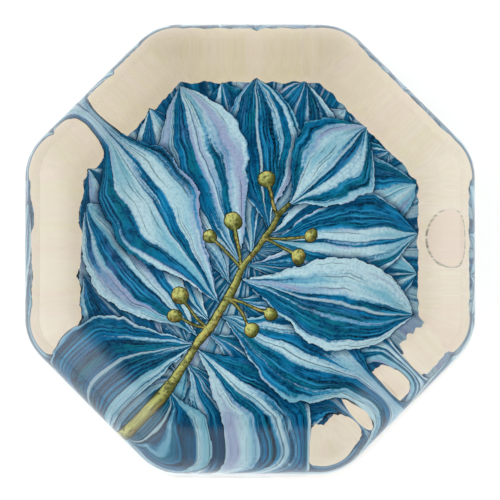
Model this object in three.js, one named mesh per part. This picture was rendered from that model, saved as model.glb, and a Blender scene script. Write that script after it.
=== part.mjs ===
// An octagonal glass paperweight: a solid block of clear glass with rounded shoulders and a softly domed top, a sheet
// of printed paper glued under it, and a felt pad that protects the print and the desk.
// Millimetres, +Z up. The origin is in the middle of the underside, and +Y is the top of the picture.

import * as THREE from 'three';
import { toCreasedNormals } from 'three/addons/utils/BufferGeometryUtils.js';

// Driving dimensions. The thin layers are whole eighths of a millimetre, so that the top of each and the bottom of
// the next are at exactly the same height.
const WIDTH_ACROSS_FLATS = 89;
const GLASS_THICKNESS = 28;
const FELT_THICKNESS = 1.25;
const PAPER_THICKNESS = 0.25;
const GLUE_THICKNESS = 0.125;

const SIDE_COUNT = 8;
const CORNER_RADIUS = 11;
// The block was ground and polished by hand, so its diagonal sides stand a few tenths further out or in than half
// the width. The list starts with the side that faces +X and runs anticlockwise, seen from above.
const SIDE_ERRORS = [0, 0.1, 0, 0.2, 0, -0.15, 0, -0.35];

const WALL_HEIGHT = 17;
const WALL_DRAFT_DEGREES = 1.5;
const SHOULDER_DEPTH = 11;
const DOME_RISE = 1;
const ARRIS_RADIUS = 0.75;

// How far the edge of each layer lies in from the widest outline of the glass.
const GLUE_INSET = 0.8;
const PAPER_INSET = 1.1;
const FELT_INSET = 1.4;
const FELT_EDGE_WEAR = 0.375;

// How finely the curves are divided.
const CORNER_STEPS = 8;
const SIDE_STEPS = 4;
const ARRIS_STEPS = 3;
const SHOULDER_STEPS = 12;
const DOME_STEPS = 8;
const CREASE_ANGLE_DEGREES = 32;

const HALF_WIDTH = WIDTH_ACROSS_FLATS / 2;
const SHOULDER_HEIGHT = GLASS_THICKNESS - WALL_HEIGHT - DOME_RISE;
const SIDE_ANGLE = (2 * Math.PI) / SIDE_COUNT;
const QUARTER_TURN = Math.PI / 2;

// A vector of one unit that points along this angle in plan.
function direction(angle) {
  return new THREE.Vector2(Math.cos(angle), Math.sin(angle));
}

// The middle of the arc that rounds the corner between one side and the next.
function cornerCentre(side) {
  const next = (side + 1) % SIDE_COUNT;
  const normal = direction(side * SIDE_ANGLE);
  const nextNormal = direction(next * SIDE_ANGLE);
  const reach = HALF_WIDTH + SIDE_ERRORS[side] - CORNER_RADIUS;
  const nextReach = HALF_WIDTH + SIDE_ERRORS[next] - CORNER_RADIUS;
  const cross = normal.cross(nextNormal);
  return new THREE.Vector2(
    (reach * nextNormal.y - nextReach * normal.y) / cross,
    (nextReach * normal.x - reach * nextNormal.x) / cross,
  );
}

// The arc round one corner, from the end of its side to the start of the next one.
function cornerArc(side) {
  const centre = cornerCentre(side);
  const points = [];
  for (let step = 0; step <= CORNER_STEPS; step += 1) {
    const angle = (side + step / CORNER_STEPS) * SIDE_ANGLE;
    points.push(direction(angle).multiplyScalar(CORNER_RADIUS).add(centre));
  }
  return points;
}

// The plan of the block where it is widest: eight straight sides with rounded corners.
function octagonOutline() {
  const points = [];
  for (let side = 0; side < SIDE_COUNT; side += 1) {
    const arc = cornerArc(side);
    const arcEnd = arc[CORNER_STEPS];
    const nextArcStart = cornerArc((side + 1) % SIDE_COUNT)[0];
    points.push(...arc);
    for (let step = 1; step < SIDE_STEPS; step += 1) {
      points.push(arcEnd.clone().lerp(nextArcStart, step / SIDE_STEPS));
    }
  }
  return points;
}

const outline = octagonOutline();

// How much the outline shrinks where a surface lies this far in from it.
function scaleAtInset(inset) {
  return 1 - inset / HALF_WIDTH;
}

// A closed solid through a stack of levels, each of them the outline at its own scale and height. A fan of triangles
// closes it below, round a point on the axis, and another closes it above, round a point at the peak's height.
function solidThroughLevels(levels, peakHeight) {
  const ringSize = outline.length;
  const lastRing = (levels.length - 1) * ringSize;
  const bottomPoint = levels.length * ringSize;
  const peakPoint = bottomPoint + 1;

  const positions = [];
  for (const { scale, height } of levels) {
    for (const point of outline) {
      positions.push(point.x * scale, point.y * scale, height);
    }
  }
  positions.push(0, 0, levels[0].height);
  positions.push(0, 0, peakHeight);

  const triangles = [];
  for (let i = 0; i < ringSize; i += 1) {
    const next = (i + 1) % ringSize;
    triangles.push(bottomPoint, next, i);
    for (let ring = 0; ring < lastRing; ring += ringSize) {
      const above = ring + ringSize;
      triangles.push(ring + i, ring + next, above + next);
      triangles.push(ring + i, above + next, above + i);
    }
    triangles.push(lastRing + i, lastRing + next, peakPoint);
  }

  const geometry = new THREE.BufferGeometry();
  geometry.setAttribute('position', new THREE.Float32BufferAttribute(positions, 3));
  geometry.setIndex(triangles);
  return toCreasedNormals(geometry, THREE.MathUtils.degToRad(CREASE_ANGLE_DEGREES));
}

// The small rounded arris that stops the bottom edge of the glass from chipping.
function arrisLevels() {
  const levels = [];
  for (let step = 0; step < ARRIS_STEPS; step += 1) {
    const turn = (step / ARRIS_STEPS) * QUARTER_TURN;
    const inset = ARRIS_RADIUS * (1 - Math.sin(turn));
    levels.push({ scale: scaleAtInset(inset), height: ARRIS_RADIUS * (1 - Math.cos(turn)) });
  }
  levels.push({ scale: 1, height: ARRIS_RADIUS });
  return levels;
}

// The glass block: the arris, a steep wall, a quarter-round shoulder, and a low dome that starts at the top of the
// wall and is highest on the axis.
function glassSolid() {
  const wallTopInset = WALL_HEIGHT * Math.tan(THREE.MathUtils.degToRad(WALL_DRAFT_DEGREES));
  const wallTopScale = scaleAtInset(wallTopInset);
  const domeHeight = (scale) => DOME_RISE * (1 - (scale / wallTopScale) ** 2);
  const levels = arrisLevels();
  for (let step = 0; step <= SHOULDER_STEPS; step += 1) {
    const turn = (step / SHOULDER_STEPS) * QUARTER_TURN;
    const scale = scaleAtInset(wallTopInset + SHOULDER_DEPTH * (1 - Math.cos(turn)));
    levels.push({ scale, height: WALL_HEIGHT + SHOULDER_HEIGHT * Math.sin(turn) + domeHeight(scale) });
  }
  const topScale = levels[levels.length - 1].scale;
  for (let step = 1; step < DOME_STEPS; step += 1) {
    const scale = topScale * (1 - step / DOME_STEPS);
    levels.push({ scale, height: WALL_HEIGHT + SHOULDER_HEIGHT + domeHeight(scale) });
  }
  return solidThroughLevels(levels, GLASS_THICKNESS);
}

// A thin sheet with square-cut edges.
function sheetSolid(inset, thickness) {
  const scale = scaleAtInset(inset);
  return solidThroughLevels([{ scale, height: 0 }, { scale, height: thickness }], thickness);
}

// The felt pad, with its cut edge a little worn above and below.
function feltSolid() {
  const edgeScale = scaleAtInset(FELT_INSET);
  const wornScale = scaleAtInset(FELT_INSET + FELT_EDGE_WEAR);
  const levels = [
    { scale: wornScale, height: 0 },
    { scale: edgeScale, height: FELT_EDGE_WEAR },
    { scale: edgeScale, height: FELT_THICKNESS - FELT_EDGE_WEAR },
    { scale: wornScale, height: FELT_THICKNESS },
  ];
  return solidThroughLevels(levels, FELT_THICKNESS);
}

function clearGlass() {
  return new THREE.MeshStandardMaterial({
    color: 0xe4eef2,
    roughness: 0.03,
    metalness: 0,
    transparent: true,
    opacity: 0.3,
  });
}

function clearGlue() {
  return new THREE.MeshStandardMaterial({
    color: 0xf1ede0,
    roughness: 0.15,
    metalness: 0,
    transparent: true,
    opacity: 0.3,
  });
}

function creamPaper() {
  return new THREE.MeshStandardMaterial({ color: 0xdfd1b6, roughness: 0.85, metalness: 0 });
}

function blueGreyFelt() {
  return new THREE.MeshStandardMaterial({ color: 0x3f4f5c, roughness: 1, metalness: 0 });
}

// One piece of the stack, lying at this height.
function stackedPiece(name, geometry, material, height) {
  const mesh = new THREE.Mesh(geometry, material);
  mesh.name = name;
  mesh.position.z = height;
  return mesh;
}

const paperHeight = FELT_THICKNESS;
const glueHeight = paperHeight + PAPER_THICKNESS;
const glassHeight = glueHeight + GLUE_THICKNESS;

const paperweight = new THREE.Group();
paperweight.add(
  stackedPiece('felt_pad', feltSolid(), blueGreyFelt(), 0),
  stackedPiece('printed_paper', sheetSolid(PAPER_INSET, PAPER_THICKNESS), creamPaper(), paperHeight),
  stackedPiece('glue_film', sheetSolid(GLUE_INSET, GLUE_THICKNESS), clearGlue(), glueHeight),
  stackedPiece('glass_block', glassSolid(), clearGlass(), glassHeight),
);

export default paperweight;
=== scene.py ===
"""An octagonal glass paperweight with a printed sheet glued under it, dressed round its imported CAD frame."""

import math

import bpy
from mathutils import Euler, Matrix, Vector, noise


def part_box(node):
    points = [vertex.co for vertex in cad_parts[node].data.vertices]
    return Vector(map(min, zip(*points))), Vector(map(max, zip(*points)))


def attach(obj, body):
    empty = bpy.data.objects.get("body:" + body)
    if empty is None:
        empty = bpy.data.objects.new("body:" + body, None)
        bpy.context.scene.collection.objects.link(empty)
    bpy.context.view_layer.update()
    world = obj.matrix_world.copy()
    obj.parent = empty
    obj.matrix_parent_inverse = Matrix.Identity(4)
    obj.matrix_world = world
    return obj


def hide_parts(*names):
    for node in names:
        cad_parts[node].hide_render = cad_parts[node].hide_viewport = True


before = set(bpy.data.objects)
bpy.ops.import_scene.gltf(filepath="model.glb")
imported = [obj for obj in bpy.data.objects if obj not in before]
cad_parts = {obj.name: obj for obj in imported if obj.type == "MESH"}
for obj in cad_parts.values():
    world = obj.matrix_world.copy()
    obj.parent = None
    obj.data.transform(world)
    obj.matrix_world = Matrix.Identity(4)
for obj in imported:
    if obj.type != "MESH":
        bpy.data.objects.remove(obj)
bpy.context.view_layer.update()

bl_info = {
    "name": "Octagonal Glass Paperweight",
    "version": (1, 0, 0),
    "blender": (4, 5, 0),
    "location": "3D View > Sidebar > Paperweight",
    "description": "Builds a glass paperweight with a printed sheet under it, a felt pad and a studio",
    "category": "Add Mesh",
}

MM = 0.001
BODY = "root"

# The CAD frame gives every height and the width. Everything else below is a real size, in metres.
FELT_LOW, FELT_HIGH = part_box("felt_pad")
PAPER_LOW, PAPER_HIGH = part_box("printed_paper")
GLUE_LOW, GLUE_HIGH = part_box("glue_film")
GLASS_LOW, GLASS_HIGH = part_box("glass_block")
HALF_WIDTH = (GLASS_HIGH.x - GLASS_LOW.x) / 2
PAPER_REACH = (PAPER_HIGH.x - PAPER_LOW.x) / 2
GLUE_REACH = (GLUE_HIGH.x - GLUE_LOW.x) / 2
FELT_REACH = (FELT_HIGH.x - FELT_LOW.x) / 2

# The plan of the glass: eight sides, the diagonal ones a few tenths out of true.
SIDE_COUNT = 8
SIDE_ANGLE = math.tau / SIDE_COUNT
CORNER_RADIUS = 11 * MM
SIDE_ERRORS = [error * MM for error in (0, 0.1, 0, 0.2, 0, -0.15, 0, -0.35)]

# How hand work wanders: over what length, and where the noise for it is read, so that no two wander alike.
SHOULDER_WANDER = (22 * MM, 3.1)
POLISH_WANDER = (16 * MM, 8.7)
SCISSOR_WANDER = (9 * MM, 5.3)
BEAD_WANDER = (4 * MM, 1.9)
FUZZ_WANDER = (0.35 * MM, 4.4)
FELT_WANDER = (2.5 * MM, 6.2)

# The worn, cut edge of the felt, from the bottom up: how far in each level lies, as a share of the wear, and
# how high, as a share of the felt's thickness.
FELT_LEVELS = ((1.0, 0.0), (0.45, 0.02), (0.15, 0.12), (0.0, 0.3), (0.0, 0.5), (0.0, 0.7), (0.15, 0.88),
               (0.5, 1.0))

# Light that enters the block meets the print and the walls many times before it leaves again.
LIGHT_BOUNCES = {"max_bounces": 24, "diffuse_bounces": 8, "glossy_bounces": 12, "transmission_bounces": 16}

# How wide a full-frame sensor is, in the millimetres that Blender's camera counts in.
FULL_FRAME_WIDTH = 36.0

# All the sizes in the picture are in millimetres.

# The leaves, from the lowest to the topmost: how far up the stem each grows, the direction in degrees and the
# distance at which its tip lies from the middle of the sheet, half its width, and how far it bends to a side.
LEAVES = (
    (-15, 229, 43.5, 9.0, 1.0),
    (-24, 222, 44.5, 7.5, -1.0),
    (13, 57, 33.3, 9.5, -1.0),
    (13, 35, 33.4, 9.5, 1.0),
    (4, 99, 33.6, 10.0, -1.5),
    (9, 22, 35.2, 10.0, 1.5),
    (9, 72, 35.4, 10.0, -1.5),
    (2, -8, 33.1, 9.5, 1.5),
    (-3, 125, 34.5, 10.0, -1.5),
    (-5, -34, 34.0, 10.0, 1.5),
    (-11, 153, 35.8, 10.5, -1.5),
    (-13, -60, 34.5, 9.5, 1.5),
    (-18, 174, 32.6, 9.0, -1.5),
    (-20, -86, 43.0, 8.5, 1.5),
    (-26, -109, 43.0, 8.5, 1.5),
    (-23, 188, 32.8, 7.5, -2.5),
    (-16, 209, 44.5, 9.0, -3.0),
    (-17, -72, 37.0, 8.0, 2.5),
    (10, 88, 33.5, 8.6, -2.0),
    (-15, 163, 33.4, 8.8, -3.0),
    (8, 6, 33.0, 8.8, 2.0),
    (1, 112, 35.4, 9.2, -3.0),
    (-9, -47, 34.8, 9.2, 3.0),
    (-7, 140, 36.5, 9.2, -3.5),
    (-1, -21, 34.6, 9.4, 3.5),
    (15, 47, 33.2, 9.2, 1.0),
)
# Each leaf reads the noise at a number of its own, so that no two have the same markings.
FIRST_LEAF_NUMBER = -2.4
LEAF_NUMBER_STEP = 1.7

# The berries: how far up the stem each grows, its direction in degrees, its stalk's length, and its radius.
BERRIES = (
    (-12.5, 161.0, 7.0, 1.5),
    (-12.5, 131.0, 8.5, 1.7),
    (-5.0, -54.0, 8.0, 1.7),
    (-5.0, -24.0, 9.0, 1.4),
    (1.0, 134.0, 9.0, 1.5),
    (1.0, 103.0, 9.5, 1.7),
    (8.0, -27.0, 8.0, 1.6),
    (8.0, 3.0, 9.5, 1.4),
    (13.0, 106.0, 8.0, 1.6),
)
# From the middle of a berry to the middle of its lit side.
BERRY_LIGHT = (-0.6, 0.6, 0.0)
# The direction in which the paper gets darker and tanner.
TANNER_END = (-0.25, 0.97, 0.0)

# Node kinds, by the names that Blender gives them.
MATH = "ShaderNodeMath"
VECTOR = "ShaderNodeVectorMath"
NOISE = "ShaderNodeTexNoise"
CELLS = "ShaderNodeTexVoronoi"
RANGE = "ShaderNodeMapRange"
MIX = "ShaderNodeMix"

# Sockets of the Mix node: the factor, and for colours, numbers and vectors the two values and the result.
FACTOR = 0
COLOUR_A, COLOUR_B, COLOUR_OUT = 6, 7, 2
FLOAT_A, FLOAT_B, FLOAT_OUT = 2, 3, 0
VECTOR_A, VECTOR_B, VECTOR_OUT = 4, 5, 1


def linear(hex_colour):
    """Turns an sRGB hex colour to the linear red, green and blue that Blender works in."""
    parts = [int(hex_colour[i:i + 2], 16) / 255 for i in (1, 3, 5)]
    return tuple(c / 12.92 if c <= 0.04045 else ((c + 0.055) / 1.055) ** 2.4 for c in parts)


def rgba(colour):
    """Gives a colour property the fourth value that a node's colour socket needs."""
    return (*colour, 1.0)


def add(tree, kind, inputs=(), out=0, **settings):
    """Adds a node, makes its settings, fills or links its inputs, and returns the output asked for."""
    made = tree.nodes.new(kind)
    for name, value in settings.items():
        setattr(made, name, value)
    pairs = inputs.items() if isinstance(inputs, dict) else enumerate(inputs)
    for place, value in pairs:
        if isinstance(value, bpy.types.NodeSocket):
            tree.links.new(value, made.inputs[place])
        else:
            made.inputs[place].default_value = value
    return made if out is None else made.outputs[out]


def new_material(name):
    """Makes an empty node material and returns it with its tree and its output node."""
    material = bpy.data.materials.new(name)
    material.use_nodes = True
    material.node_tree.nodes.clear()
    output = add(material.node_tree, "ShaderNodeOutputMaterial", out=None)
    return material, material.node_tree, output


def new_group(name, inputs, outputs):
    """Makes an empty node group with these sockets, and returns it with its inputs and its result node."""
    tree = bpy.data.node_groups.new(name, "ShaderNodeTree")
    for in_out, sockets in (("INPUT", inputs), ("OUTPUT", outputs)):
        for socket, kind in sockets.items():
            tree.interface.new_socket(socket, in_out=in_out, socket_type="NodeSocket" + kind)
    given = add(tree, "NodeGroupInput", out=None).outputs
    return tree, given, add(tree, "NodeGroupOutput", out=None)


# The octagon and the meshes lofted from it

def corner_centre(side):
    """The middle of the arc that rounds the corner between one side and the next."""
    following = (side + 1) % SIDE_COUNT
    angle, next_angle = side * SIDE_ANGLE, following * SIDE_ANGLE
    reach = HALF_WIDTH + SIDE_ERRORS[side] - CORNER_RADIUS
    next_reach = HALF_WIDTH + SIDE_ERRORS[following] - CORNER_RADIUS
    cross = math.sin(next_angle - angle)
    x = (reach * math.sin(next_angle) - next_reach * math.sin(angle)) / cross
    y = (next_reach * math.cos(angle) - reach * math.cos(next_angle)) / cross
    return Vector((x, y))


def octagon(corner_steps, side_steps):
    """The outline of the glass where it is widest, as points in plan, anticlockwise."""
    arcs = []
    for side in range(SIDE_COUNT):
        centre = corner_centre(side)
        angles = [(side + step / corner_steps) * SIDE_ANGLE for step in range(corner_steps + 1)]
        arcs.append([centre + CORNER_RADIUS * Vector((math.cos(a), math.sin(a))) for a in angles])
    points = []
    for side, arc in enumerate(arcs):
        next_start = arcs[(side + 1) % SIDE_COUNT][0]
        points.extend(arc)
        points.extend(arc[-1].lerp(next_start, step / side_steps) for step in range(1, side_steps))
    return points


def loft(name, rings, closed_tube=False):
    """Makes a mesh through rings of points, with its two ends filled, or joined where it is a tube."""
    size = len(rings[0])
    vertices = [point for ring in rings for point in ring]
    faces = []
    last = len(rings) if closed_tube else len(rings) - 1
    for level in range(last):
        low = level * size
        high = ((level + 1) % len(rings)) * size
        for i in range(size):
            j = (i + 1) % size
            faces.append((low + i, low + j, high + j, high + i))
    if not closed_tube:
        top = (len(rings) - 1) * size
        middles = [sum((Vector(p) for p in ring), Vector()) / size for ring in (rings[0], rings[-1])]
        vertices.extend(tuple(m) for m in middles)
        bottom_point, top_point = len(vertices) - 2, len(vertices) - 1
        for i in range(size):
            j = (i + 1) % size
            faces.append((bottom_point, j, i))
            faces.append((top + i, top + j, top_point))
    mesh = bpy.data.meshes.new(name)
    mesh.from_pydata([tuple(v) for v in vertices], [], faces)
    mesh.shade_smooth()
    mesh.update()
    piece = bpy.data.objects.new(name, mesh)
    bpy.context.collection.objects.link(piece)
    return piece


def wander(point, wavelength, seed):
    """A smooth number between about -1 and 1 that changes over this distance, the same each run."""
    place = Vector((point[0], point[1], point[2] if len(point) > 2 else 0.0)) / wavelength
    return noise.noise(place + Vector((seed, seed * 0.37, -seed)))


def place_piece(piece, slot, *nodes):
    """Lets a piece ride on the body, and lets it stand for its CAD nodes, which it hides. Its slot is not
    used.
    """
    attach(piece, BODY)
    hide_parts(*nodes)


# Glass

def glass_rings(settings):
    """The levels of the block: arris, steep wall, quarter-round shoulder, and a low dome up to the axis."""
    outline = octagon(corner_steps=36, side_steps=24)
    bottom = PAPER_HIGH.z - settings.seat
    wall_top = GLASS_LOW.z + settings.wall_height
    draft_inset = settings.wall_height * math.tan(settings.wall_draft)
    shoulder_height = GLASS_HIGH.z - wall_top - settings.dome_rise
    wall_scale = 1 - draft_inset / HALF_WIDTH
    levels = []
    for step in range(settings.arris_steps):
        turn = step / settings.arris_steps * math.pi / 2
        inset = settings.arris_radius * (1 - math.sin(turn))
        height = bottom + settings.arris_radius * (1 - math.cos(turn))
        levels.append((1 - inset / HALF_WIDTH, height, 0.0))
    wall_bottom = bottom + settings.arris_radius
    for step in range(settings.wall_steps):
        along = step / settings.wall_steps
        height = wall_bottom + along * (wall_top - wall_bottom)
        levels.append((1 - along * draft_inset / HALF_WIDTH, height, 0.0))
    for step in range(settings.shoulder_steps + 1):
        turn = step / settings.shoulder_steps * math.pi / 2
        scale = wall_scale - settings.shoulder_depth * (1 - math.cos(turn)) / HALF_WIDTH
        dome = settings.dome_rise * (1 - (scale / wall_scale) ** 2)
        height = wall_top + shoulder_height * math.sin(turn) + dome
        levels.append((scale, height, 1 - math.cos(turn)))
    top_scale = levels[-1][0]
    for step in range(1, settings.dome_steps):
        scale = top_scale * (1 - step / settings.dome_steps)
        height = wall_top + shoulder_height + settings.dome_rise * (1 - (scale / wall_scale) ** 2)
        levels.append((scale, height, scale / top_scale))
    rings = []
    for scale, height, shoulder in levels:
        ring = []
        for point in outline:
            hand = 1 + shoulder * settings.shoulder_wander * wander(point, *SHOULDER_WANDER) / HALF_WIDTH
            x, y = point * scale * hand
            lift = 0.0
            if height > wall_bottom:
                lift = settings.polish_wander * wander((x, y, height), *POLISH_WANDER)
            rise = max(0.0, min(1.0, (height - wall_top) / shoulder_height))
            outward = 1 + (1 - rise) * lift / HALF_WIDTH
            ring.append((x * outward, y * outward, height - rise * abs(lift)))
        rings.append(ring)
    return rings


def polished_soda_lime_glass(settings):
    """Clear soda-lime glass, pressed and polished: it bends and mirrors sharply, and is faintly green."""
    material, tree, output = new_material("polished soda-lime glass")
    point = add(tree, "ShaderNodeTexCoord", out="Object")
    # Wipe marks from a cloth, a few millimetres long, which only dull the shine a little.
    wipe = add(tree, NOISE, {"Vector": point, "Scale": 1 / (9 * MM), "Detail": 4.0, "Distortion": 1.5})
    dull = add(tree, RANGE, {"Value": wipe, "From Min": 0.45, "From Max": 0.75,
                             "To Min": settings.polished_roughness, "To Max": settings.wiped_roughness})
    # Polishing ripple about 2 mm apart and under a micron high.
    ripple = add(tree, NOISE, {"Vector": point, "Scale": 1 / (2 * MM), "Detail": 1.0})
    bump = add(tree, "ShaderNodeBump", {"Strength": 0.02, "Distance": 0.01 * MM, "Height": ripple})
    shader = add(tree, "ShaderNodeBsdfPrincipled", {
        "Base Color": rgba(settings.colour), "Roughness": dull, "IOR": settings.ior,
        "Transmission Weight": 1.0, "Normal": bump})
    haze = add(tree, "ShaderNodeVolumeAbsorption", {
        "Color": rgba(settings.depth_colour), "Density": settings.depth})
    tree.links.new(shader, output.inputs["Surface"])
    tree.links.new(haze, output.inputs["Volume"])
    return material


# Print

def leaf_group(settings):
    """A node group that draws one long pointed leaf. It gives how far a point is inside the leaf, and the
    point's own place in it: along from base to tip, across from rib to margin, and the leaf's number."""
    tree, given, result = new_group(
        "long leaf",
        {"Point": "Vector", "Base": "Vector", "Turn": "Vector", "Length": "Float", "Half Width": "Float",
         "Bend": "Float", "Number": "Float"},
        {"Inside": "Float", "Place": "Vector"})
    own = add(tree, "ShaderNodeMapping", {"Vector": given["Point"], "Location": given["Base"],
                                          "Rotation": given["Turn"]}, vector_type="TEXTURE")
    parts = add(tree, "ShaderNodeSeparateXYZ", [own], None).outputs
    along = parts[0]
    share = add(tree, MATH, [along, given["Length"]], operation="DIVIDE", use_clamp=True)
    bend = add(tree, MATH, [share, share], operation="MULTIPLY")
    bend = add(tree, MATH, [bend, given["Bend"]], operation="MULTIPLY")
    across = add(tree, MATH, [parts[1], bend], operation="SUBTRACT")

    # Half the width at each place: widest a little nearer the tip.
    width = add(tree, MATH, [share, settings.leaf_fullness], operation="POWER")
    width = add(tree, MATH, [width, math.pi], operation="MULTIPLY")
    width = add(tree, MATH, [width], operation="SINE")
    width = add(tree, MATH, [width, settings.leaf_bluntness], operation="POWER")
    margin = add(tree, MATH, [share, given["Number"]], operation="ADD")
    margin = add(tree, NOISE, {"W": margin, "Scale": settings.margin_waves, "Detail": 2.0},
                 noise_dimensions="1D")
    margin = add(tree, MATH, [margin, settings.margin_depth, 1 - settings.margin_depth / 2],
                 operation="MULTIPLY_ADD")
    width = add(tree, MATH, [width, margin], operation="MULTIPLY")
    width = add(tree, MATH, [width, given["Half Width"]], operation="MULTIPLY")
    away = add(tree, MATH, [across], operation="ABSOLUTE")
    inside = add(tree, MATH, [width, away], operation="SUBTRACT")
    past_tip = add(tree, MATH, [given["Length"], along], operation="SUBTRACT")
    ends = add(tree, MATH, [along, past_tip], operation="MINIMUM")
    inside = add(tree, MATH, [inside, ends], operation="MINIMUM")

    # Near its ends the leaf's stripes stop narrowing, so that they don't shrink to nothing.
    width = add(tree, MATH, [width, settings.narrowest_stripes], operation="MAXIMUM")
    outward = add(tree, MATH, [across, width], operation="DIVIDE")
    place = add(tree, "ShaderNodeCombineXYZ", [share, outward, given["Number"]])
    tree.links.new(inside, result.inputs["Inside"])
    tree.links.new(place, result.inputs["Place"])
    return tree


def berry_group(settings):
    """A node group that draws a round berry on a thin stalk. It gives how far a point is inside them, and how
    far it is inside the berry's lit side."""
    tree, given, result = new_group(
        "berry",
        {"Point": "Vector", "Root": "Vector", "Middle": "Vector", "Radius": "Float"},
        {"Inside": "Float", "Lit": "Float"})
    stalk = add(tree, VECTOR, [given["Middle"], given["Root"]], operation="SUBTRACT")
    from_root = add(tree, VECTOR, [given["Point"], given["Root"]], operation="SUBTRACT")
    covered = add(tree, VECTOR, [from_root, stalk], "Value", operation="DOT_PRODUCT")
    whole = add(tree, VECTOR, [stalk, stalk], "Value", operation="DOT_PRODUCT")
    share = add(tree, MATH, [covered, whole], operation="DIVIDE", use_clamp=True)
    nearest = add(tree, VECTOR, {0: stalk, "Scale": share}, operation="SCALE")
    away = add(tree, VECTOR, [from_root, nearest], "Value", operation="DISTANCE")
    in_stalk = add(tree, MATH, [settings.stalk_width, away], operation="SUBTRACT")

    away = add(tree, VECTOR, [given["Point"], given["Middle"]], "Value", operation="DISTANCE")
    in_berry = add(tree, MATH, [given["Radius"], away], operation="SUBTRACT")
    inside = add(tree, MATH, [in_berry, in_stalk], operation="MAXIMUM")
    lit_middle = add(tree, VECTOR, [given["Middle"], BERRY_LIGHT], operation="ADD")
    away = add(tree, VECTOR, [given["Point"], lit_middle], "Value", operation="DISTANCE")
    lit = add(tree, MATH, [given["Radius"], away], operation="SUBTRACT")
    lit = add(tree, MATH, [lit, in_stalk], operation="MAXIMUM")
    tree.links.new(inside, result.inputs["Inside"])
    tree.links.new(lit, result.inputs["Lit"])
    return tree


def layered(tree, ground, layers):
    """Lays colours over a ground in turn, each as far as its own factor says."""
    for factor, colour in layers:
        lower, upper = (c if isinstance(c, bpy.types.NodeSocket) else rgba(c) for c in (ground, colour))
        ground = add(tree, MIX, {FACTOR: factor, COLOUR_A: lower, COLOUR_B: upper}, COLOUR_OUT,
                     data_type="RGBA")
    return ground


def patches(tree, point, scale, low, high, most=1.0, detail=2.0):
    """Soft patches, as many to a millimetre as the scale says: nothing where the noise is below the range,
    and the most where it is above."""
    value = add(tree, NOISE, {"Vector": point, "Scale": scale, "Detail": detail, "Roughness": 0.6})
    return add(tree, RANGE, {"Value": value, "From Min": low, "From Max": high, "To Max": most})


def streaks(tree, place, scales, low, high, shift, detail=2.0):
    """Patches drawn out along a leaf. The scales are along it, across it and from leaf to leaf."""
    stretched = add(tree, VECTOR, [place, scales, (shift, shift, shift)], operation="MULTIPLY_ADD")
    return patches(tree, stretched, 1.0, low, high, detail=detail)


def sketched_bud(tree, point, settings):
    """A long bud in faint pencil: how dark its broken outline is, and how pink it is inside."""
    own = add(tree, VECTOR, [point, (*settings.bud_middle, 0.0)], operation="SUBTRACT")
    own = add(tree, VECTOR, [own, (1 / settings.bud_half_width, 1 / settings.bud_half_length, 0.0)],
              operation="MULTIPLY")
    away = add(tree, VECTOR, [own], "Value", operation="LENGTH")
    inside = add(tree, MATH, [1.0, away], operation="SUBTRACT")
    inside = add(tree, MATH, [inside, settings.bud_half_width], operation="MULTIPLY")
    away = add(tree, MATH, [inside], operation="ABSOLUTE")
    line = add(tree, RANGE, {"Value": away, "From Min": settings.pencil_core,
                             "From Max": settings.pencil_width, "To Min": settings.pencil_darkness,
                             "To Max": 0.0})
    line = add(tree, MATH, [line, patches(tree, point, 1.6, 0.38, 0.64)], operation="MULTIPLY")
    return line, add(tree, RANGE, {"Value": inside, "From Max": 0.1, "To Max": settings.bud_tint})


def cream_ground(tree, point, settings):
    """Old cream paper: clouds from 14 mm down to 1 mm across, pulp of under half a millimetre, specks of
    foxing about 5 mm apart, and a pencil sketch."""
    pencil, in_bud = sketched_bud(tree, point, settings)
    spots = add(tree, CELLS, {"Vector": point, "Scale": 0.2, "Randomness": 1.0}, "Distance")
    spots = add(tree, RANGE, {"Value": spots, "From Min": 0.03, "From Max": 0.08,
                              "To Min": 0.6, "To Max": 0.0})
    # The paper is darker and tanner towards the far end of the sheet, a little to the left.
    towards_tanner_end = add(tree, VECTOR, [point, TANNER_END], "Value", operation="DOT_PRODUCT")
    towards_tanner_end = add(tree, RANGE, {"Value": towards_tanner_end, "From Min": settings.tanner_end_from,
                                "From Max": settings.tanner_end_to})
    return layered(tree, settings.paper, [
        (towards_tanner_end, settings.paper_tanner_end),
        (patches(tree, point, 0.07, 0.35, 0.65, 0.5, detail=3.0), settings.paper_shade),
        (patches(tree, point, 0.3, 0.5, 0.66, 0.5), settings.paper_stain),
        (patches(tree, point, 0.22, 0.48, 0.66, 0.6), settings.paper_pink),
        (patches(tree, point, 0.9, 0.45, 0.8, 0.08, detail=2.0), settings.foxing),
        (in_bud, settings.paper_pink),
        (patches(tree, point, 0.8, 0.3, 0.7, 0.35, detail=4.0), settings.paper_stain),
        (patches(tree, point, 1.0, 0.3, 0.7, 0.45, detail=4.0), settings.paper_pink),
        (patches(tree, point, 2.6, 0.3, 0.7, 0.12, detail=2.0), settings.foxing),
        (spots, settings.foxing),
        (pencil, settings.pencil),
    ])


def engraved_lines(tree, place, count, low, high, shift, most=1.0):
    """Fine lines along a leaf, as many across its half as the count says, which sway, swell and fade."""
    sway_scales, sway_reach = (1.6, 2.2, 3.0), 14.0
    swell_scales, line_strength = (3.2, 7.0, 2.0), 0.12
    sway = add(tree, VECTOR, [place, sway_scales, (shift, shift, shift)], operation="MULTIPLY_ADD")
    sway = add(tree, NOISE, {"Vector": sway, "Scale": 1.0, "Detail": 1.0})
    swell = add(tree, VECTOR, [place, swell_scales, (shift, 0.0, shift)], operation="MULTIPLY_ADD")
    swell = add(tree, NOISE, {"Vector": swell, "Scale": 1.0, "Detail": 2.0})
    parts = add(tree, "ShaderNodeSeparateXYZ", [place], None).outputs
    phase = add(tree, MATH, [parts[1], math.tau * count], operation="MULTIPLY")
    phase = add(tree, MATH, [sway, sway_reach, phase], operation="MULTIPLY_ADD")
    line = add(tree, MATH, [phase], operation="SINE")
    line = add(tree, MATH, [line, line_strength, swell], operation="MULTIPLY_ADD")
    return add(tree, RANGE, {"Value": line, "From Min": low, "From Max": high, "To Max": most})


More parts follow.
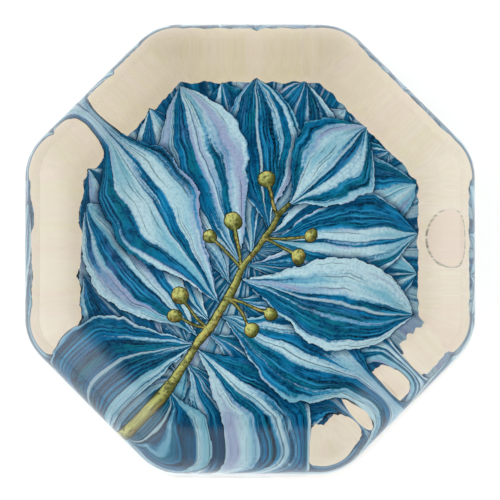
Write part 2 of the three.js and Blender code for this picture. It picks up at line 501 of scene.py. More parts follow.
def leaf_paint(tree, point, place, depth, shade, settings):
    """The blues of a leaf, as a hand-coloured engraving has them: a pale wash, soft tints, broad dark bands
    drawn out along the leaf and filled with fine lines, pooled pigment, and a thin broken ink outline."""
    outward = add(tree, "ShaderNodeSeparateXYZ", [place], None).outputs[1]
    off_rib = add(tree, MATH, [outward], operation="ABSOLUTE")

    # The dark bands fray into fine lines, and they leave the margins pale.
    band_scales, fray_scales = (0.6, 2.5, 7.0), (1.6, 13.0, 3.0)
    fray_share, grit_share, margin_loss = 0.2, 0.12, 0.13
    bands = add(tree, VECTOR, [place, band_scales], operation="MULTIPLY")
    bands = add(tree, NOISE, {"Vector": bands, "Scale": 1.0, "Detail": 1.0})
    fray = add(tree, VECTOR, [place, fray_scales], operation="MULTIPLY")
    fray = add(tree, NOISE, {"Vector": fray, "Scale": 1.0, "Detail": 3.0})
    bands = add(tree, MATH, [fray, fray_share, bands], operation="MULTIPLY_ADD")
    grit = add(tree, NOISE, {"Vector": point, "Scale": 1.4, "Detail": 3.0, "Roughness": 0.7})
    bands = add(tree, MATH, [grit, grit_share, bands], operation="MULTIPLY_ADD")
    paler = add(tree, RANGE, {"Value": off_rib, "From Min": 0.6, "From Max": 1.0, "To Max": margin_loss})
    bands = add(tree, MATH, [bands, paler], operation="SUBTRACT")
    wash = add(tree, RANGE, {"Value": bands, "From Min": 0.56, "From Max": 0.65, "To Max": 0.75})
    bands = add(tree, RANGE, {"Value": bands, "From Min": 0.615, "From Max": 0.655},
                interpolation_type="SMOOTHSTEP")

    dark = layered(tree, settings.royal, [
        (streaks(tree, place, (2.0, 2.5, 6.0), 0.44, 0.58, 23.0), settings.teal),
        (streaks(tree, place, (1.8, 3.0, 4.0), 0.58, 0.7, 47.0), settings.plum),
        (patches(tree, point, 0.45, 0.46, 0.62, 0.9, detail=4.0), settings.navy),
        (engraved_lines(tree, place, 9.0, 0.5, 0.62, 5.0), settings.navy),
        (engraved_lines(tree, place, 11.0, 0.6, 0.68, 71.0), settings.ink),
        (engraved_lines(tree, place, 8.0, 0.58, 0.72, 17.0), settings.wash),
    ])
    leaf = layered(tree, settings.pale, [
        (streaks(tree, place, (1.4, 1.8, 5.0), 0.48, 0.62, 9.0), settings.light_blue),
        (streaks(tree, place, (1.4, 2.4, 9.0), 0.54, 0.66, 11.0), settings.lavender),
        (wash, settings.wash),
        (bands, dark),
        (engraved_lines(tree, place, 13.0, 0.64, 0.72, 43.0, 0.6), settings.ink),
    ])

    rib = add(tree, RANGE, {"Value": off_rib, "From Min": settings.rib_share,
                            "From Max": settings.rib_share * 2, "To Min": 0.7, "To Max": 0.0})
    rib_edge = add(tree, MATH, [outward, settings.rib_share * 2.4], operation="ADD")
    rib_edge = add(tree, MATH, [rib_edge], operation="ABSOLUTE")
    rib_edge = add(tree, RANGE, {"Value": rib_edge, "From Min": 0.0, "From Max": settings.rib_share,
                                 "To Min": 0.9, "To Max": 0.0})
    # The outline is up to a quarter of a millimetre wide, and nothing where it is broken.
    outline = add(tree, MATH, [patches(tree, point, 0.6, 0.4, 0.6), 0.28, -0.03], operation="MULTIPLY_ADD")
    outline = add(tree, MATH, [depth, outline], operation="LESS_THAN")
    return layered(tree, leaf, [
        (rib, settings.pale),
        (rib_edge, settings.navy),
        (patches(tree, point, 1.4, 0.45, 0.75, 0.35, detail=4.0), settings.wash),
        (patches(tree, point, 2.2, 0.5, 0.8, 0.35, detail=3.0), settings.navy),
        (patches(tree, point, 2.9, 0.5, 0.75, 0.2, detail=2.0), settings.wash),
        (shade, settings.navy),
        (outline, settings.ink),
    ])


def polar(distance, degrees):
    """The point of the sheet this far away in this direction."""
    turn = math.radians(degrees)
    return Vector((distance * math.cos(turn), distance * math.sin(turn), 0.0))


def stem_point(settings, place):
    """The point of the stem that is this far up from its middle."""
    sideways = settings.stem_sway * math.sin(place / settings.stem_wave + settings.stem_phase)
    own = Vector((place, sideways, 0.0))
    own.rotate(Euler((0.0, 0.0, settings.stem_turn)))
    return own + Vector((*settings.stem_middle, 0.0))


def stem(tree, point, settings):
    """How far a point is inside the stem, and inside its lit side."""
    own = add(tree, "ShaderNodeMapping", {"Vector": point, "Location": (*settings.stem_middle, 0.0),
                                          "Rotation": (0.0, 0.0, settings.stem_turn)}, vector_type="TEXTURE")
    along, across, _ = add(tree, "ShaderNodeSeparateXYZ", [own], None).outputs
    curve = add(tree, MATH, [along, 1 / settings.stem_wave, settings.stem_phase], operation="MULTIPLY_ADD")
    curve = add(tree, MATH, [curve], operation="SINE")
    off = add(tree, MATH, [curve, -settings.stem_sway, across], operation="MULTIPLY_ADD")
    away = add(tree, MATH, [off], operation="ABSOLUTE")
    width = add(tree, MATH, [along, -settings.stem_taper, settings.stem_width], operation="MULTIPLY_ADD")
    in_width = add(tree, MATH, [width, away], operation="SUBTRACT")
    in_low = add(tree, MATH, [along, settings.stem_back], operation="ADD")
    in_high = add(tree, MATH, [settings.stem_front, along], operation="SUBTRACT")
    in_length = add(tree, MATH, [in_low, in_high], operation="MINIMUM")
    lit = add(tree, MATH, [off, -settings.stem_light], operation="ADD")
    lit = add(tree, MATH, [lit], operation="ABSOLUTE")
    lit = add(tree, MATH, [width, lit], operation="SUBTRACT")
    return add(tree, MATH, [in_length, in_width], operation="MINIMUM"), lit


def undergrowth(tree, point, settings):
    """The shaded leaves behind all the others, which end in a wavy line along the sides of the sheet. It
    gives how far a point is inside them, and the point's place in them: away from the middle, and round."""
    own = add(tree, VECTOR, [point, (*settings.undergrowth_middle, 0.0)], operation="SUBTRACT")
    reach = 0.0
    for side in range(SIDE_COUNT // 2):
        towards_side = polar(1.0, math.degrees(side * SIDE_ANGLE))
        away = add(tree, VECTOR, [own, towards_side], "Value", operation="DOT_PRODUCT")
        away = add(tree, MATH, [away], operation="ABSOLUTE")
        reach = add(tree, MATH, [away, reach], operation="MAXIMUM")
    waves = add(tree, NOISE, {"Vector": own, "Scale": 1 / settings.undergrowth_wave, "Detail": 1.5})
    edge = add(tree, MATH, [waves, settings.undergrowth_waves, settings.undergrowth_reach],
               operation="MULTIPLY_ADD")
    inside = add(tree, MATH, [edge, reach], operation="SUBTRACT")
    along, across, _ = add(tree, "ShaderNodeSeparateXYZ", [own], None).outputs
    turn = add(tree, MATH, [across, along], operation="ARCTAN2")
    outward = add(tree, MATH, [turn, settings.undergrowth_leaves], operation="MULTIPLY")
    outward = add(tree, MATH, [outward], operation="SINE")
    outward = add(tree, MATH, [outward, settings.undergrowth_spread], operation="MULTIPLY")
    share = add(tree, MATH, [reach, settings.undergrowth_reach], operation="DIVIDE")
    turn = add(tree, MATH, [turn], operation="COSINE")
    return inside, add(tree, "ShaderNodeCombineXYZ", [share, outward, turn])


def painted_leaves(tree, point, drawn, ground, settings):
    """Lays the leaves over the ground, from the lowest to the topmost. Only the topmost at each point is
    painted, and it is darker close to a leaf that lies over it."""
    group = leaf_group(settings)
    inside, place = undergrowth(tree, point, settings)
    covered = add(tree, MATH, [inside, 0.0], operation="GREATER_THAN")
    depth, shade = 1.0, settings.undergrowth_shade
    for number, (place_on_stem, tip_direction, tip_distance, half_width, bend) in enumerate(LEAVES):
        base = stem_point(settings, place_on_stem)
        to_tip = polar(tip_distance, tip_direction) - base
        own_length = math.sqrt(to_tip.length ** 2 - bend ** 2)
        turn = math.atan2(to_tip.y, to_tip.x) - math.atan2(bend, own_length)
        inside, own_place = add(tree, "ShaderNodeGroup", {
            "Point": drawn, "Base": base, "Turn": (0.0, 0.0, turn), "Length": own_length,
            "Half Width": half_width, "Bend": bend, "Number": LEAF_NUMBER_STEP * number + FIRST_LEAF_NUMBER},
            None, node_tree=group).outputs
        here = add(tree, MATH, [inside, 0.0], operation="GREATER_THAN")
        near = add(tree, RANGE, {"Value": inside, "From Min": -settings.shade_reach, "From Max": 0.0,
                                 "To Max": settings.shade_darkness})
        near = add(tree, MATH, [near, shade], operation="MAXIMUM")
        shade = add(tree, MIX, {FACTOR: here, FLOAT_A: near, FLOAT_B: 0.0}, FLOAT_OUT)
        depth = add(tree, MIX, {FACTOR: here, FLOAT_A: depth, FLOAT_B: inside}, FLOAT_OUT)
        place = add(tree, MIX, {FACTOR: here, VECTOR_A: place, VECTOR_B: own_place}, VECTOR_OUT,
                    data_type="VECTOR")
        covered = add(tree, MATH, [here, covered], operation="MAXIMUM")
    return layered(tree, ground, [(covered, leaf_paint(tree, point, place, depth, shade, settings))])


def painted_sprig(tree, point, drawn, ground, settings):
    """Lays the stem and the berries over the leaves, in olive and gold with a brown outline."""
    group = berry_group(settings)
    inside, lit = stem(tree, drawn, settings)
    for place_on_stem, turn, stalk, radius in BERRIES:
        root = stem_point(settings, place_on_stem)
        own_inside, own_lit = add(tree, "ShaderNodeGroup", {
            "Point": drawn, "Root": root, "Middle": root + polar(stalk, turn), "Radius": radius}, None,
            node_tree=group).outputs
        inside = add(tree, MATH, [inside, own_inside], operation="MAXIMUM")
        lit = add(tree, MATH, [lit, own_lit], operation="MAXIMUM")
    is_lit = add(tree, RANGE, {"Value": lit, "From Min": 0.1, "From Max": 0.9})
    is_shaded = add(tree, RANGE, {"Value": lit, "From Min": -0.7, "From Max": 0.1,
                                  "To Min": 0.85, "To Max": 0.0})
    outline = add(tree, MATH, [inside, settings.sprig_outline], operation="LESS_THAN")
    gold = layered(tree, settings.olive, [
        (patches(tree, point, 0.35, 0.5, 0.62, 0.8), settings.ochre),
        (is_lit, settings.gold),
        (is_shaded, settings.gold_ink),
        (patches(tree, point, 0.6, 0.52, 0.64, 0.7), settings.gold_ink),
        (patches(tree, point, 1.6, 0.5, 0.66, 0.7), settings.gold_ink),
        (outline, settings.gold_ink),
    ])
    is_gold = add(tree, MATH, [inside, 0.0], operation="GREATER_THAN")
    return layered(tree, ground, [(is_gold, gold)])


def print_colour(tree, settings):
    """The whole picture, as one colour for each point of the sheet."""
    object_point = add(tree, "ShaderNodeTexCoord", out="Object")
    point = add(tree, VECTOR, [object_point, (1 / MM, 1 / MM, 0.0)], operation="MULTIPLY")

    # A hand-drawn wobble: slow for the shapes, quick for the pen. It is as often to one side as to the other.
    slow, quick = settings.slow_wobble, settings.pen_wobble
    slow_waves, quick_waves = 0.12, 1.3
    middle = (slow + quick) / 2
    drawn = add(tree, VECTOR, [point, (middle, middle, 0.0)], operation="SUBTRACT")
    for size, waves in ((slow, slow_waves), (quick, quick_waves)):
        wobble = add(tree, NOISE, {"Vector": point, "Scale": waves, "Detail": 1.0}, "Color")
        drawn = add(tree, VECTOR, [wobble, (size, size, 0.0), drawn], operation="MULTIPLY_ADD")

    colour = cream_ground(tree, point, settings)
    colour = painted_leaves(tree, point, drawn, colour, settings)
    return painted_sprig(tree, point, drawn, colour, settings)


def printed_rag_paper(settings):
    """Rag paper with an old hand-coloured print: matt, and wetted by the glue, so its colours are deep."""
    material, tree, output = new_material("printed rag paper")
    colour = print_colour(tree, settings)
    shader = add(tree, "ShaderNodeBsdfPrincipled", {
        "Base Color": colour, "Roughness": 0.9, "Specular IOR Level": 0.0})
    tree.links.new(shader, output.inputs["Surface"])
    return material


def cut_paper_edge(settings):
    """The plain back and cut edge of the sheet: pale pulp."""
    material, tree, output = new_material("cut paper edge")
    point = add(tree, "ShaderNodeTexCoord", out="Object")
    pulp = add(tree, NOISE, {"Vector": point, "Scale": 1 / (0.5 * MM), "Detail": 3.0})
    colour = layered(tree, settings.paper, [(pulp, settings.foxing)])
    shader = add(tree, "ShaderNodeBsdfPrincipled", {"Base Color": colour, "Roughness": 0.85})
    tree.links.new(shader, output.inputs["Surface"])
    return material


def paper_rings(settings):
    """The sheet, cut by hand with scissors to the shape of the glass, so that its edge wanders a little."""
    outline = octagon(corner_steps=12, side_steps=24)
    scale = PAPER_REACH / HALF_WIDTH
    edge = []
    for point in outline:
        cut = scale + settings.scissor_slip * wander(point, *SCISSOR_WANDER) / HALF_WIDTH
        edge.append((point.x * cut, point.y * cut))
    shares = (1.0, 0.75, 0.5, 0.25)
    rings = [[(x, y, PAPER_LOW.z) for x, y in edge]]
    rings.extend([(x * share, y * share, PAPER_HIGH.z) for x, y in edge] for share in shares)
    return rings


# Glue and felt

def clear_dried_glue(settings):
    """Water-based glue, dried clear with a faint yellow: glossy where it was squeezed out."""
    material, tree, output = new_material("clear dried glue")
    point = add(tree, "ShaderNodeTexCoord", out="Object")
    drips = add(tree, NOISE, {"Vector": point, "Scale": 1 / (1.5 * MM), "Detail": 2.0})
    bump = add(tree, "ShaderNodeBump", {"Strength": 0.3, "Distance": 0.05 * MM, "Height": drips})
    shine = add(tree, RANGE, {"Value": drips, "To Min": 0.08, "To Max": 0.25})
    shader = add(tree, "ShaderNodeBsdfPrincipled", {
        "Base Color": rgba(settings.glue), "Roughness": shine, "IOR": 1.47, "Transmission Weight": 0.85,
        "Normal": bump})
    tree.links.new(shader, output.inputs["Surface"])
    return material


def pressed_wool_felt(settings):
    """Pressed wool felt: matted fibres, drawn 0.4 mm apart so that they show, and a soft sheen."""
    material, tree, output = new_material("pressed wool felt")
    point = add(tree, "ShaderNodeTexCoord", out="Object")
    mat = add(tree, NOISE, {"Vector": point, "Scale": 1 / (0.4 * MM), "Detail": 4.0, "Distortion": 2.5})
    tone = add(tree, RANGE, {"Value": mat, "From Min": 0.3, "From Max": 0.7})
    colour = layered(tree, settings.felt, [(tone, settings.felt_light)])
    bump = add(tree, "ShaderNodeBump", {"Strength": 0.8, "Distance": 0.15 * MM, "Height": mat})
    shader = add(tree, "ShaderNodeBsdfPrincipled", {
        "Base Color": colour, "Roughness": 0.95, "Sheen Weight": 0.4, "Sheen Roughness": 0.5, "Normal": bump})
    tree.links.new(shader, output.inputs["Surface"])
    return material


def glue_rings():
    """The bead of glue that was squeezed out under the rim of the glass, all round the sheet."""
    outline = octagon(corner_steps=24, side_steps=40)
    bead_depth = GLUE_REACH - PAPER_REACH
    middle_height = (PAPER_LOW.z + GLUE_HIGH.z) / 2
    half_height = (GLUE_HIGH.z - PAPER_LOW.z) / 2
    section_steps = 10
    usual, uneven = 0.75, 0.25
    rings = []
    for step in range(section_steps):
        turn = -step / section_steps * math.tau
        ring = []
        for point in outline:
            squeezed = usual + uneven * wander(point, *BEAD_WANDER)
            reach = PAPER_REACH + bead_depth * squeezed * math.cos(turn)
            x, y = point * (reach / HALF_WIDTH)
            ring.append((x, y, middle_height + half_height * math.sin(turn)))
        rings.append(ring)
    return rings


def felt_rings(settings):
    """The felt pad, with a cut edge that is worn above and below and fuzzy all round."""
    outline = octagon(corner_steps=96, side_steps=260)
    height = FELT_HIGH.z - FELT_LOW.z
    rings = []
    for inset, share in FELT_LEVELS:
        ring = []
        for point in outline:
            place = (point.x, point.y, share * height)
            fuzz = wander(place, *FUZZ_WANDER) + 0.6 * wander(place, *FELT_WANDER)
            reach = FELT_REACH - settings.felt_fuzz * (1 + fuzz) - inset * settings.felt_wear
            x, y = point * (reach / HALF_WIDTH)
            ring.append((x, y, FELT_LOW.z + share * height))
        rings.append(ring)
    return rings


# Studio

def satin_white_board(settings):
    """A floor of satin white board, the palest tone that still shows the weight's own shade."""
    material, tree, output = new_material("satin white board")
    point = add(tree, "ShaderNodeTexCoord", out="Object")
    grain = add(tree, NOISE, {"Vector": point, "Scale": 1 / (1.2 * MM), "Detail": 2.0})
    tone = add(tree, RANGE, {"Value": grain, "To Max": 0.05})
    colour = layered(tree, settings.floor, [(tone, settings.floor_grain)])
    shader = add(tree, "ShaderNodeBsdfPrincipled", {"Base Color": colour, "Roughness": 0.25})
    tree.links.new(shader, output.inputs["Surface"])
    return material


def make_floor(settings):
    """A large flat floor under the weight."""
    half = settings.floor_width / 2
    mesh = bpy.data.meshes.new("studio_floor")
    corners = [(-half, -half, 0), (half, -half, 0), (half, half, 0), (-half, half, 0)]
    mesh.from_pydata(corners, [], [(0, 1, 2, 3)])
    floor = bpy.data.objects.new("studio_floor", mesh)
    floor.location.z = FELT_LOW.z
    bpy.context.collection.objects.link(floor)
    mesh.materials.append(satin_white_board(settings))


def make_world(settings):
    """A white tent all round, dimmer high up behind the weight, with a soft glow from each side and a dark
    opening for the lens overhead."""
    world = bpy.data.worlds.new("white tent")
    world.use_nodes = True
    tree = world.node_tree
    tree.nodes.clear()
    direction = add(tree, "ShaderNodeTexCoord", out="Generated")
    parts = add(tree, "ShaderNodeSeparateXYZ", [direction], None).outputs
    opening = add(tree, RANGE, {"Value": parts[2], "From Min": math.cos(settings.opening_edge),
                                "From Max": math.cos(settings.opening), "To Min": settings.tent_strength,
                                "To Max": settings.opening_strength}, interpolation_type="SMOOTHSTEP")
    high_behind = (0.0, math.cos(settings.far_elevation), math.sin(settings.far_elevation))
    far_side = add(tree, VECTOR, [direction, high_behind], "Value", operation="DOT_PRODUCT")
    far_side = add(tree, RANGE, {"Value": far_side, "From Min": math.cos(settings.far_elevation),
                                 "From Max": 0.95, "To Min": 1.0, "To Max": settings.far_side},
                   interpolation_type="SMOOTHSTEP")
    strength = add(tree, MATH, [opening, far_side], operation="MULTIPLY")
    for side, glow in ((-1.0, settings.left_glow), (1.0, settings.right_glow)):
        towards = (side * math.cos(settings.glow_elevation), 0.0, math.sin(settings.glow_elevation))
        facing = add(tree, VECTOR, [direction, towards], "Value", operation="DOT_PRODUCT")
        facing = add(tree, RANGE, {"Value": facing, "From Min": 0.4, "From Max": 1.0, "To Max": glow},
                     interpolation_type="SMOOTHSTEP")
        strength = add(tree, MATH, [strength, facing], operation="ADD")
    light = add(tree, "ShaderNodeBackground", {"Color": rgba(settings.tent), "Strength": strength})
    output = add(tree, "ShaderNodeOutputWorld", out=None)
    tree.links.new(light, output.inputs["Surface"])
    bpy.context.scene.world = world


def make_softbox(name, azimuth, power, settings):
    """A large soft lamp that faces the weight from this side."""
    lamp = bpy.data.lights.new(name, "AREA")
    lamp.shape = "RECTANGLE"
    lamp.size = settings.softbox_width
    lamp.size_y = settings.softbox_height
    lamp.energy = power
    softbox = bpy.data.objects.new(name, lamp)
    away = Vector((math.cos(azimuth), math.sin(azimuth), 0.0)) * math.cos(settings.softbox_elevation)
    away.z = math.sin(settings.softbox_elevation)
    softbox.location = away * settings.softbox_distance
    softbox.rotation_euler = away.to_track_quat("Z", "Y").to_euler()
    bpy.context.collection.objects.link(softbox)


def make_camera(settings):
    """A long lens, almost straight above: the photograph's own view."""
    camera_data = bpy.data.cameras.new("overhead camera")
    camera_data.sensor_width = FULL_FRAME_WIDTH
    camera_data.lens = camera_data.sensor_width * settings.camera_distance / settings.frame_width
    camera_data.clip_end = 2 * settings.camera_distance
    camera_data.dof.use_dof = False
    camera = bpy.data.objects.new("overhead camera", camera_data)
    elevation = settings.camera_elevation
    back = Vector((0.0, -math.cos(elevation), math.sin(elevation)))
    target = Vector((0.0, settings.target_y, GLASS_LOW.z))
    camera.location = target + back * settings.camera_distance
    camera.rotation_euler = (-back).to_track_quat("-Z", "Y").to_euler()
    bpy.context.collection.objects.link(camera)
    bpy.context.scene.camera = camera


# Settings

def length(name, description, default):
    """A size property, shown in Blender's own units."""
    return bpy.props.FloatProperty(name=name, description=description, default=default, subtype="DISTANCE",
                                   unit="LENGTH", precision=5)


def number(name, description, default):
    """A plain number property. Sizes in the picture are in millimetres."""
    return bpy.props.FloatProperty(name=name, description=description, default=default)


def angle_of(name, description, degrees):
    """An angle property."""
    return bpy.props.FloatProperty(name=name, description=description, default=math.radians(degrees),
                                   subtype="ANGLE", unit="ROTATION")


def steps(name, description, default):
    """A whole number of steps."""
    return bpy.props.IntProperty(name=name, description=description, default=default, min=1)


def place_of(name, description, default):
    """A point of the picture, in millimetres from the middle of the sheet."""
    return bpy.props.FloatVectorProperty(name=name, description=description, default=default, size=2)


def colour_of(name, description, hex_colour):
    """A colour property, from its sRGB hex value."""
    return bpy.props.FloatVectorProperty(name=name, description=description, default=linear(hex_colour),
                                         subtype="COLOR", size=3, min=0.0, max=1.0)


class PaperweightGlassSettings(bpy.types.PropertyGroup):
    """Sizes and colours of the glass block"""

    seat: length("Seat", "How far the glass reaches below the sheet's face, to leave no air", 0.03 * MM)
    wall_height: length("Wall height", "Height of the steep side wall", 17 * MM)
    wall_draft: angle_of("Wall draft", "How much the wall leans in", 1.5)
    shoulder_depth: length("Shoulder depth", "How far in the rounded shoulder reaches", 11 * MM)
    dome_rise: length("Dome rise", "How much higher the middle is than the wall's line", 1 * MM)
    arris_radius: length("Arris", "Radius of the small rounded edge at the bottom", 0.75 * MM)
    shoulder_wander: length("Shoulder wander", "How unevenly the shoulder was finished", 0.5 * MM)
    polish_wander: length("Polish wander", "How far the polished faces are out of true", 0.04 * MM)
    arris_steps: steps("Arris steps", "Levels in the arris", 8)
    wall_steps: steps("Wall steps", "Levels in the wall", 12)
    shoulder_steps: steps("Shoulder steps", "Levels in the shoulder", 48)
    dome_steps: steps("Dome steps", "Levels in the top", 40)
    polished_roughness: number("Polished roughness", "Roughness where the polish is best", 0.012)
    wiped_roughness: number("Wiped roughness", "Roughness where a cloth has left marks", 0.045)
    colour: colour_of("Glass colour", "Tint of the surface", "#FCFEFE")
    depth_colour: colour_of("Depth colour", "Colour that a long way through the glass gives", "#C4E6DC")
    depth: number("Depth tint", "Strength of that colour, per metre", 3.0)
    ior: number("IOR", "Index of refraction of soda-lime glass", 1.52)


class PaperweightPrintSettings(bpy.types.PropertyGroup):
    """Sizes, in millimetres, and colours of the picture, and the cut of the sheet"""

    slow_wobble: number("Slow wobble", "How far the drawn shapes sway", 2.4)
    pen_wobble: number("Pen wobble", "How far the pen's line shakes", 0.3)
    leaf_fullness: number("Leaf fullness", "Above 1 a leaf is widest nearer its tip", 1.4)
    leaf_bluntness: number("Leaf bluntness", "Below 1 a leaf is blunter at its ends", 0.95)
    margin_waves: number("Margin waves", "How often the margin of a leaf waves", 7.0)
    margin_depth: number("Margin depth", "How deep those waves are, as a share of half the leaf", 0.2)
    narrowest_stripes: number("Narrowest stripes", "Half the width at which they stop narrowing", 0.6)
    rib_share: number("Rib", "Half the width of a leaf's rib, as a share of half the leaf", 0.022)
    shade_reach: number("Shade reach", "How far the shade beside an upper leaf reaches", 1.6)
    shade_darkness: number("Shade darkness", "How dark that shade is at its darkest", 0.85)
    undergrowth_middle: place_of("Undergrowth middle", "Middle of the rear leaves", (0.1, 0.4))
    undergrowth_reach: number("Undergrowth", "How far the shaded leaves behind the others reach", 31.9)
    undergrowth_waves: number("Undergrowth waves", "How far their edge waves", 1.5)
    undergrowth_wave: number("Undergrowth wave", "How long one of those waves is", 2.5)
    undergrowth_leaves: number("Undergrowth leaves", "How many stripes they show all round", 11.0)
    undergrowth_spread: number("Undergrowth spread", "How far from a leaf's rib those stripes are taken", 0.6)
    undergrowth_shade: number("Undergrowth shade", "How dark they are", 0.35)
    stalk_width: number("Stalk width", "Half the width of a berry's stalk", 0.38)
    sprig_outline: number("Sprig outline", "Width of the brown outline of the stem and the berries", 0.18)
    stem_middle: place_of("Stem middle", "Where the stem crosses the middle", (-1.0, -5.0))
    stem_turn: angle_of("Stem turn", "Direction of the stem", 50.0)
    stem_wave: number("Stem wave", "Length of the stem's bend", 15.0)
    stem_phase: number("Stem phase", "Where along the stem its bend begins", 0.4)
    stem_sway: number("Stem sway", "How far the stem bends to a side", 2.6)
    stem_width: number("Stem width", "Half the width of the stem", 0.7)
    stem_taper: number("Stem taper", "How much of that is lost for each millimetre up the stem", 0.012)
    stem_light: number("Stem light", "How far to one side the stem's lit stripe lies", 0.35)
    stem_back: number("Stem back", "How far the stem runs down from its middle", 36.0)
    stem_front: number("Stem front", "How far the stem runs up from its middle", 16.5)
    bud_middle: place_of("Bud middle", "Middle of the bud in pencil", (36.31, 2.6))
    bud_half_width: number("Bud width", "Half the width of that bud", 2.75)
    bud_half_length: number("Bud length", "Half its length", 9.0)
    bud_tint: number("Bud tint", "How pink its inside is", 0.8)
    pencil_width: number("Pencil width", "Half the width of the pencil's line", 0.07)
    pencil_core: number("Pencil core", "Half the width over which it is darkest", 0.02)
    pencil_darkness: number("Pencil darkness", "How dark it is there", 0.9)
    # Where along that direction the paper begins to get darker and tanner, and where it is darkest.
    tanner_end_from: number("Browned from", "How far from the middle the paper begins to get browner", 10.0)
    tanner_end_to: number("Browned to", "How far from the middle it is brownest", 40.0)
    scissor_slip: length("Scissor slip", "How far the sheet's cut edge wanders", 0.15 * MM)
    paper: colour_of("Paper", "Old cream paper", "#FAEBDD")
    paper_shade: colour_of("Paper shade", "Its darker clouds", "#EEDDC2")
    # The darker, tanner paper at the far end of the sheet.
    paper_tanner_end: colour_of("Browned paper", "The paper's older end", "#DBC69C")
    paper_stain: colour_of("Paper stain", "Its yellower clouds", "#EFE2BC")
    paper_pink: colour_of("Paper pink", "Its pinker clouds", "#F3D9CE")
    foxing: colour_of("Foxing", "Brown specks in old paper", "#B4966C")
    pencil: colour_of("Pencil", "Soft grey pencil", "#5E564C")
    pale: colour_of("Pale wash", "The leaf's palest tone", "#BFD8E0")
    light_blue: colour_of("Light blue", "The leaf's light wash", "#80B7CA")
    lavender: colour_of("Lavender", "The leaf's violet wash", "#A2A9C8")
    wash: colour_of("Mid blue", "Thin streaks in the light parts", "#2B8CBA")
    royal: colour_of("Royal blue", "The bright blue of the bands", "#066C9F")
    teal: colour_of("Teal", "The green blue of the bands", "#07687A")
    plum: colour_of("Plum", "The violet grey of the bands", "#3F6196")
    navy: colour_of("Navy", "The dark blue of the bands", "#04365A")
    ink: colour_of("Ink", "The drawn lines", "#071624")
    ochre: colour_of("Ochre", "Brown tints on the stem", "#A88C4C")
    olive: colour_of("Olive", "The stem's shade", "#686B34")
    gold: colour_of("Gold", "The stem's light", "#CBC978")
    gold_ink: colour_of("Brown ink", "The stem's outline", "#2C2A14")


class PaperweightBaseSettings(bpy.types.PropertyGroup):
    """Sizes and colours of the glue and the felt"""

    felt_fuzz: length("Felt fuzz", "How far the cut edge of the felt is ragged", 0.06 * MM)
    felt_wear: length("Felt wear", "How far the edge is worn back above and below", 0.35 * MM)
    glue: colour_of("Glue", "Clear glue with a faint yellow", "#F6F0DC")
    felt: colour_of("Felt", "The felt's shade", "#2C3742")
    felt_light: colour_of("Felt light", "The felt's lighter fibres", "#57646F")


class PaperweightStudioSettings(bpy.types.PropertyGroup):
    """The floor, the light and the camera"""

    floor: colour_of("Floor", "Satin white board", "#FDFDFC")
    floor_grain: colour_of("Floor grain", "The board's faint grain", "#E7E7E7")
    floor_width: length("Floor width", "Width of the floor", 12.0)
    tent: colour_of("Tent", "Colour of the even light", "#FFFFFF")
    tent_strength: number("Tent strength", "Brightness of the tent", 1.05)
    opening: angle_of("Opening", "Half the angle of the dark opening overhead", 13.0)
    opening_edge: angle_of("Opening edge", "Half the angle at which the tent has its full brightness", 34.0)
    opening_strength: number("Opening brightness", "What is left of the light in the opening", 0.03)
    far_elevation: angle_of("Far elevation", "How high the tent's dimmest place behind the weight is", 58.0)
    far_side: number("Far side", "Share of the light that comes from behind the weight", 0.47)
    glow_elevation: angle_of("Glow elevation", "How high the two soft glows stand", 24.0)
    left_glow: number("Left glow", "Brightness of the glow at the left", 2.35)
    right_glow: number("Right glow", "Brightness of the glow at the right", 1.1)
    softbox_width: length("Softbox width", "Width of each softbox", 0.9)
    softbox_height: length("Softbox height", "Height of each softbox", 0.7)
    softbox_distance: length("Softbox distance", "How far each softbox is from the weight", 0.9)
    softbox_elevation: angle_of("Softbox elevation", "How high the softboxes stand", 24.0)
    left_azimuth: angle_of("Left azimuth", "Direction of the left softbox, from the right round", 180.0)
    left_power: number("Left power", "Power of the left softbox, in watts", 0.8)
    right_azimuth: angle_of("Right azimuth", "Direction of the right softbox, from the right round", 8.0)
    right_power: number("Right power", "Power of the right softbox, in watts", 0.64)
    camera_distance: length("Camera distance", "From the lens to the weight", 1.2)
    camera_elevation: angle_of("Camera elevation", "Angle of the view above the floor", 86.5)
    frame_width: length("Frame width", "What the picture takes in, at the weight", 99.3 * MM)
    target_y: length("Target", "How far behind the middle the camera aims", 0.8 * MM)


SETTINGS = {
    "paperweight_glass": PaperweightGlassSettings,
    "paperweight_print": PaperweightPrintSettings,
    "paperweight_base": PaperweightBaseSettings,
    "paperweight_studio": PaperweightStudioSettings,
}


# Operators

class PAPERWEIGHT_OT_glass(bpy.types.Operator):
    """Make the block of pressed and polished glass"""

    bl_idname = "paperweight.make_glass"
    bl_label = "Glass block"

    def execute(self, context):
        settings = context.scene.paperweight_glass
        glass = loft("polished_glass", glass_rings(settings))
        glass.data.materials.append(polished_soda_lime_glass(settings))
        place_piece(glass, "clear_glass", "glass_block")
        return {"FINISHED"}


class PAPERWEIGHT_OT_print(bpy.types.Operator):
    """Make the printed sheet under the glass"""

    bl_idname = "paperweight.make_print"
    bl_label = "Printed sheet"

    def execute(self, context):
        settings = context.scene.paperweight_print
        sheet = loft("print_sheet", paper_rings(settings))
        sheet.data.materials.append(cut_paper_edge(settings))
        sheet.data.materials.append(printed_rag_paper(settings))
        for face in sheet.data.polygons:
            face.use_smooth = False
            face.material_index = 1 if face.normal.z > 0.9 else 0
        place_piece(sheet, "printed_paper", "printed_paper")
        return {"FINISHED"}


class PAPERWEIGHT_OT_glue(bpy.types.Operator):
    """Make the bead of clear glue round the sheet"""

    bl_idname = "paperweight.make_glue"
    bl_label = "Glue bead"

    def execute(self, context):
        bead = loft("glue_bead", glue_rings(), closed_tube=True)
        bead.data.materials.append(clear_dried_glue(context.scene.paperweight_base))
        place_piece(bead, "clear_glue", "glue_film")
        return {"FINISHED"}


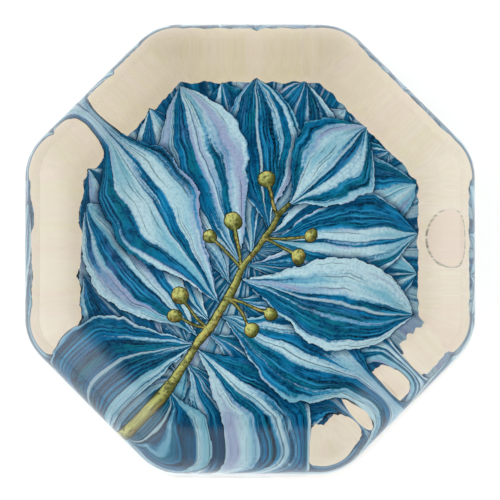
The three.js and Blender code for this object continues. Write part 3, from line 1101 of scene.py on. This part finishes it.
class PAPERWEIGHT_OT_felt(bpy.types.Operator):
    """Make the felt pad"""

    bl_idname = "paperweight.make_felt"
    bl_label = "Felt pad"

    def execute(self, context):
        settings = context.scene.paperweight_base
        felt = loft("felt_base", felt_rings(settings))
        felt.data.materials.append(pressed_wool_felt(settings))
        place_piece(felt, "wool_felt", "felt_pad")
        return {"FINISHED"}


class PAPERWEIGHT_OT_studio(bpy.types.Operator):
    """Make the floor, the light and the camera"""

    bl_idname = "paperweight.make_studio"
    bl_label = "Studio"

    def execute(self, context):
        settings = context.scene.paperweight_studio
        make_floor(settings)
        make_world(settings)
        make_softbox("left_softbox", settings.left_azimuth, settings.left_power, settings)
        make_softbox("right_softbox", settings.right_azimuth, settings.right_power, settings)
        make_camera(settings)
        for kind, bounces in LIGHT_BOUNCES.items():
            setattr(context.scene.cycles, kind, bounces)
        context.scene.view_settings.view_transform = "Standard"
        return {"FINISHED"}


class VIEW3D_PT_paperweight(bpy.types.Panel):
    """Lists the steps and the settings of the paperweight"""

    bl_label = "Paperweight"
    bl_space_type = "VIEW_3D"
    bl_region_type = "UI"
    bl_category = "Paperweight"

    def draw(self, context):
        column = self.layout.column(align=True)
        for operator in OPERATORS:
            column.operator(operator.bl_idname)
        for name, group in SETTINGS.items():
            box = self.layout.box()
            settings = getattr(context.scene, name)
            for key in group.__annotations__:
                box.prop(settings, key)


OPERATORS = (PAPERWEIGHT_OT_glass, PAPERWEIGHT_OT_print, PAPERWEIGHT_OT_glue, PAPERWEIGHT_OT_felt,
             PAPERWEIGHT_OT_studio)
CLASSES = (*SETTINGS.values(), *OPERATORS, VIEW3D_PT_paperweight)


def register():
    for cls in CLASSES:
        bpy.utils.register_class(cls)
    for name, group in SETTINGS.items():
        setattr(bpy.types.Scene, name, bpy.props.PointerProperty(type=group))


def unregister():
    for name in SETTINGS:
        delattr(bpy.types.Scene, name)
    for cls in reversed(CLASSES):
        bpy.utils.unregister_class(cls)


def main():
    """Builds every piece and the studio."""
    register()
    bpy.ops.paperweight.make_studio()
    bpy.ops.paperweight.make_felt()
    bpy.ops.paperweight.make_print()
    bpy.ops.paperweight.make_glue()
    bpy.ops.paperweight.make_glass()


if __name__ == "__main__":
    main()
